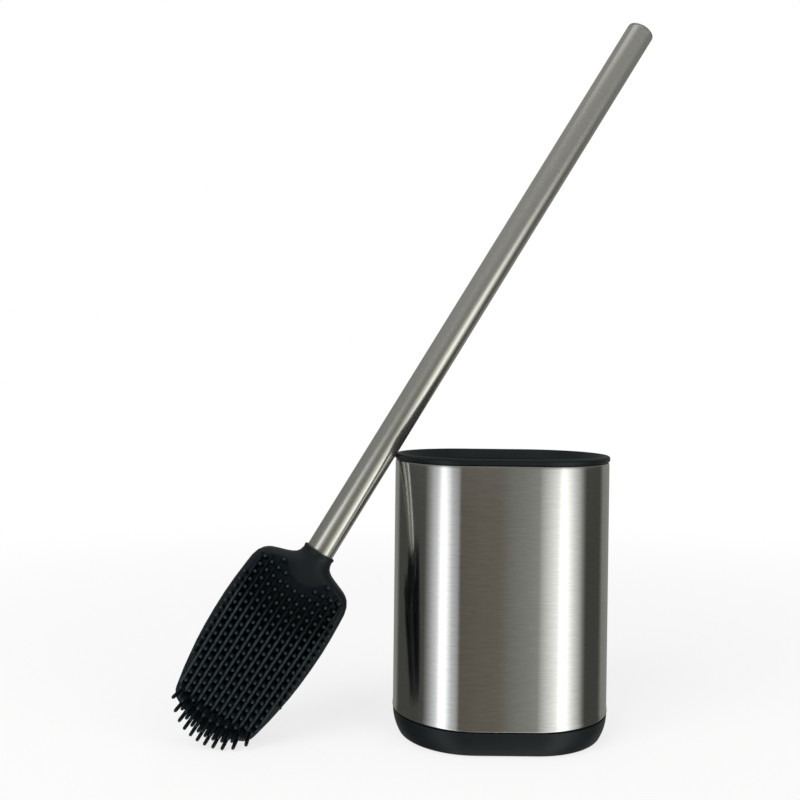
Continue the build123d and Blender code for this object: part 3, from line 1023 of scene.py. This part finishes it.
walls = add_node(tree, "ShaderNodeValToRGB", {}, {"Fac": turn.outputs["Result"]})
stops = walls.color_ramp.elements
stops[0].position, stops[1].position = 0, 1
for angle, _, _ in room[1:-1]:
    stops.new((angle + 180) / 360)
for stop, (angle, brightness, tint) in zip(stops, room):
    stop.color = [channel * brightness / brightest for channel in linear(tint)]
above = add_node(
    tree,
    "ShaderNodeMapRange",
    {"interpolation_type": "SMOOTHSTEP"},
    {"Value": place.outputs["Z"], "From Min": window_top[0], "From Max": window_top[1]},
)
ceiling = add_node(
    tree,
    "ShaderNodeMapRange",
    {},
    {
        "Value": place.outputs["Z"],
        "From Min": ceiling_rise[0],
        "From Max": ceiling_rise[1],
        "To Min": ceiling_light[0] / brightest,
        "To Max": ceiling_light[1] / brightest,
    },
)
light = add_node(
    tree,
    "ShaderNodeMix",
    {"data_type": "RGBA"},
    {"Factor": above.outputs["Result"], 6: walls.outputs["Color"], 7: ceiling.outputs["Result"]},
)
glow = add_node(tree, "ShaderNodeEmission", {}, {"Color": light.outputs[2], "Strength": brightest})
add_node(tree, "ShaderNodeOutputMaterial", {}, {"Surface": glow.outputs["Emission"]})
surround.data.materials.append(room_light)

# Lamps and world: two broad soft lamps from the front and a pale world, at a level where a colour
# renders about as it is written.
world_light = 0.45
lamp_target = Vector((0, 0, 0.1))
for name, place, size, watts in (
    ("key_lamp", (-0.8, -1.0, 1.1), 1.0, 16),
    ("fill_lamp", (1.0, -0.9, 0.9), 1.2, 9),
):
    lamp = bpy.data.objects.new(name, bpy.data.lights.new(name, "AREA"))
    bpy.context.scene.collection.objects.link(lamp)
    lamp.data.size = size
    lamp.data.energy = watts
    lamp.location = place
    lamp.rotation_euler = (lamp_target - Vector(place)).to_track_quat("-Z", "Y").to_euler()
    lamp.visible_camera = lamp.visible_glossy = False

world = bpy.data.worlds.new("pale_studio")
world.use_nodes = True
bpy.context.scene.world = world
tree = world.node_tree
tree.nodes.clear()
ray = add_node(tree, "ShaderNodeLightPath")
mirrored = add_node(
    tree,
    "ShaderNodeMath",
    {"operation": "MAXIMUM"},
    {0: ray.outputs["Is Glossy Ray"], 1: ray.outputs["Is Transmission Ray"]},
)
seen = add_node(
    tree, "ShaderNodeMath", {"operation": "MAXIMUM"}, {0: ray.outputs["Is Camera Ray"], 1: mirrored.outputs["Value"]}
)
sky = add_node(
    tree,
    "ShaderNodeMix",
    {"data_type": "RGBA"},
    {"Factor": seen.outputs["Value"], 6: (world_light, world_light, world_light, 1), 7: (1, 1, 1, 1)},
)
background = add_node(tree, "ShaderNodeBackground", {}, {"Color": sky.outputs[2], "Strength": 1})
add_node(tree, "ShaderNodeOutputWorld", {}, {"Surface": background.outputs["Background"]})

# Camera: in front of the object and a little above the rim, at the photograph's viewing angle.
camera_place = Vector((-52.676, -474.325, 169.583)) * MM
camera_pan, camera_pitch, camera_roll = 0.0032, 0.011, 0.0115
forward = Vector(
    (
        math.sin(camera_pan) * math.cos(camera_pitch),
        math.cos(camera_pan) * math.cos(camera_pitch),
        -math.sin(camera_pitch),
    )
)
level_right = Vector((math.cos(camera_pan), -math.sin(camera_pan), 0))
upright = level_right.cross(forward)
right = level_right * math.cos(camera_roll) + upright * math.sin(camera_roll)
up = upright * math.cos(camera_roll) - level_right * math.sin(camera_roll)
camera = bpy.data.objects.new("camera", bpy.data.cameras.new("camera"))
bpy.context.scene.collection.objects.link(camera)
camera.data.sensor_width = 36
camera.data.lens = 42.75
camera.matrix_world = Matrix.Translation(camera_place) @ Matrix((right, up, -forward)).transposed().to_4x4()
bpy.context.scene.camera = camera
bpy.context.scene.view_settings.view_transform = "Standard"
